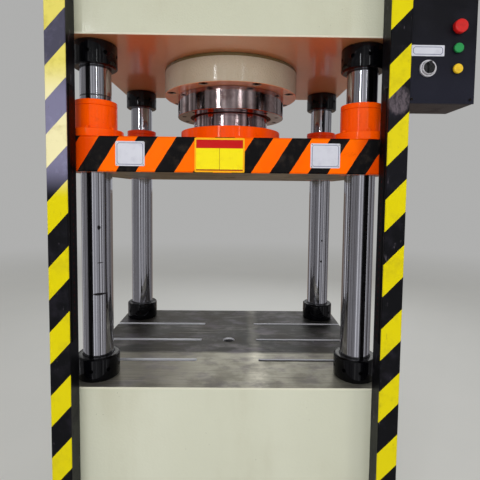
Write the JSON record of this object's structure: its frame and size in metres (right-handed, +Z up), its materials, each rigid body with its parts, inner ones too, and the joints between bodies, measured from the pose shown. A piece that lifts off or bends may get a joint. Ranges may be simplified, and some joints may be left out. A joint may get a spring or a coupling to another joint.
{
  "type": "hydraulic press",
  "caption": "Four-column hydraulic press with slotted worktable, guided slide under a crown-mounted cylinder, table ejector, guard posts and control box.",
  "frame": {"origin": "on the floor, at the foot of the press's centre line", "axes": "+Z up along the cylinder, +X to the operator's right, -Y towards the operator"},
  "size_m": [1.2683, 0.8733, 2.6703],
  "materials": {
    "cream_paint": "semi-gloss cream enamel",
    "orange_paint": "semi-gloss orange enamel",
    "hard_chrome": "ground and polished",
    "bright_steel": "turned",
    "machined_steel": "machined",
    "black_gloss": "gloss black",
    "black_powder": "black powder coat",
    "curtain_lens": "dark smooth lens",
    "seal_rubber": "matt black",
    "black_plastic": "moulded",
    "stop_red": "moulded",
    "button_green": "moulded",
    "button_yellow": "moulded"
  },
  "bodies": {
    "frame": {"base_frame": "cream_paint", "worktable_beam": "cream_paint", "crown_beam": "cream_paint", "column_front_left": "hard_chrome", "column_front_right": "hard_chrome", "column_rear_left": "hard_chrome", "column_rear_right": "hard_chrome", "lower_lock_ring_front_left": "black_gloss", "lower_lock_ring_front_right": "black_gloss", "lower_lock_ring_rear_left": "black_gloss", "lower_lock_ring_rear_right": "black_gloss", "upper_lock_ring_front_left": "black_gloss", "upper_lock_ring_front_right": "black_gloss", "upper_lock_ring_rear_left": "black_gloss", "upper_lock_ring_rear_right": "black_gloss", "bottom_nut_front_left": "black_gloss", "bottom_nut_front_right": "black_gloss", "bottom_nut_rear_left": "black_gloss", "bottom_nut_rear_right": "black_gloss", "top_nut_front_left": "black_gloss", "top_nut_front_right": "black_gloss", "top_nut_rear_left": "black_gloss", "top_nut_rear_right": "black_gloss", "cylinder_barrel": "cream_paint", "cylinder_gland": "bright_steel", "cylinder_head": "cream_paint", "barrel_nut": "bright_steel", "rod_seal": "seal_rubber", "rod_wiper": "seal_rubber", "ejector_cylinder": "cream_paint", "ejector_gland": "machined_steel", "guard_post_left": "black_powder", "guard_post_right": "black_powder", "light_curtain_left": "curtain_lens", "light_curtain_right": "curtain_lens", "control_box": "black_powder", "control_box_cover": "black_powder", "knob_bezel": "hard_chrome"},
    "ram": {"piston_rod": "hard_chrome", "piston": "machined_steel", "piston_ring_lower": "seal_rubber", "piston_ring_upper": "seal_rubber", "piston_nut": "machined_steel", "ram_flange": "orange_paint", "slide_beam": "orange_paint", "guide_bush_front_left": "orange_paint", "guide_bush_front_right": "orange_paint", "guide_bush_rear_left": "orange_paint", "guide_bush_rear_right": "orange_paint", "bush_cap_front_left": "orange_paint", "bush_cap_front_right": "orange_paint", "bush_cap_rear_left": "orange_paint", "bush_cap_rear_right": "orange_paint"},
    "ejector": {"ejector_rod": "machined_steel", "ejector_piston": "machined_steel"},
    "mode_knob": {"mode_knob": "black_plastic"},
    "emergency_stop": {"emergency_stop": "stop_red"},
    "raise_button": {"raise_button": "button_green"},
    "lower_button": {"lower_button": "button_yellow"}
  },
  "joints": [
    {"name": "ram_slide", "type": "slide", "parent": "frame", "child": "ram", "axis": [0, 0, 1], "range_m": [-0.5, 0.05]},
    {"name": "ejector_slide", "type": "slide", "parent": "frame", "child": "ejector", "axis": [0, 0, 1], "range_m": [0, 0.15]},
    {"name": "mode_knob_turn", "type": "hinge", "parent": "frame", "child": "mode_knob", "pos_m": [0.5903, -0.4478, 1.786], "axis": [0, -1, 0], "range_deg": [-45, 45]},
    {"name": "emergency_stop_push", "type": "slide", "parent": "frame", "child": "emergency_stop", "axis": [0, 1, 0], "range_m": [0, 0.006]},
    {"name": "raise_button_push", "type": "slide", "parent": "frame", "child": "raise_button", "axis": [0, 1, 0], "range_m": [0, 0.004], "stiffness_N_per_m": 400},
    {"name": "lower_button_push", "type": "slide", "parent": "frame", "child": "lower_button", "axis": [0, 1, 0], "range_m": [0, 0.004], "stiffness_N_per_m": 400}
  ]
}
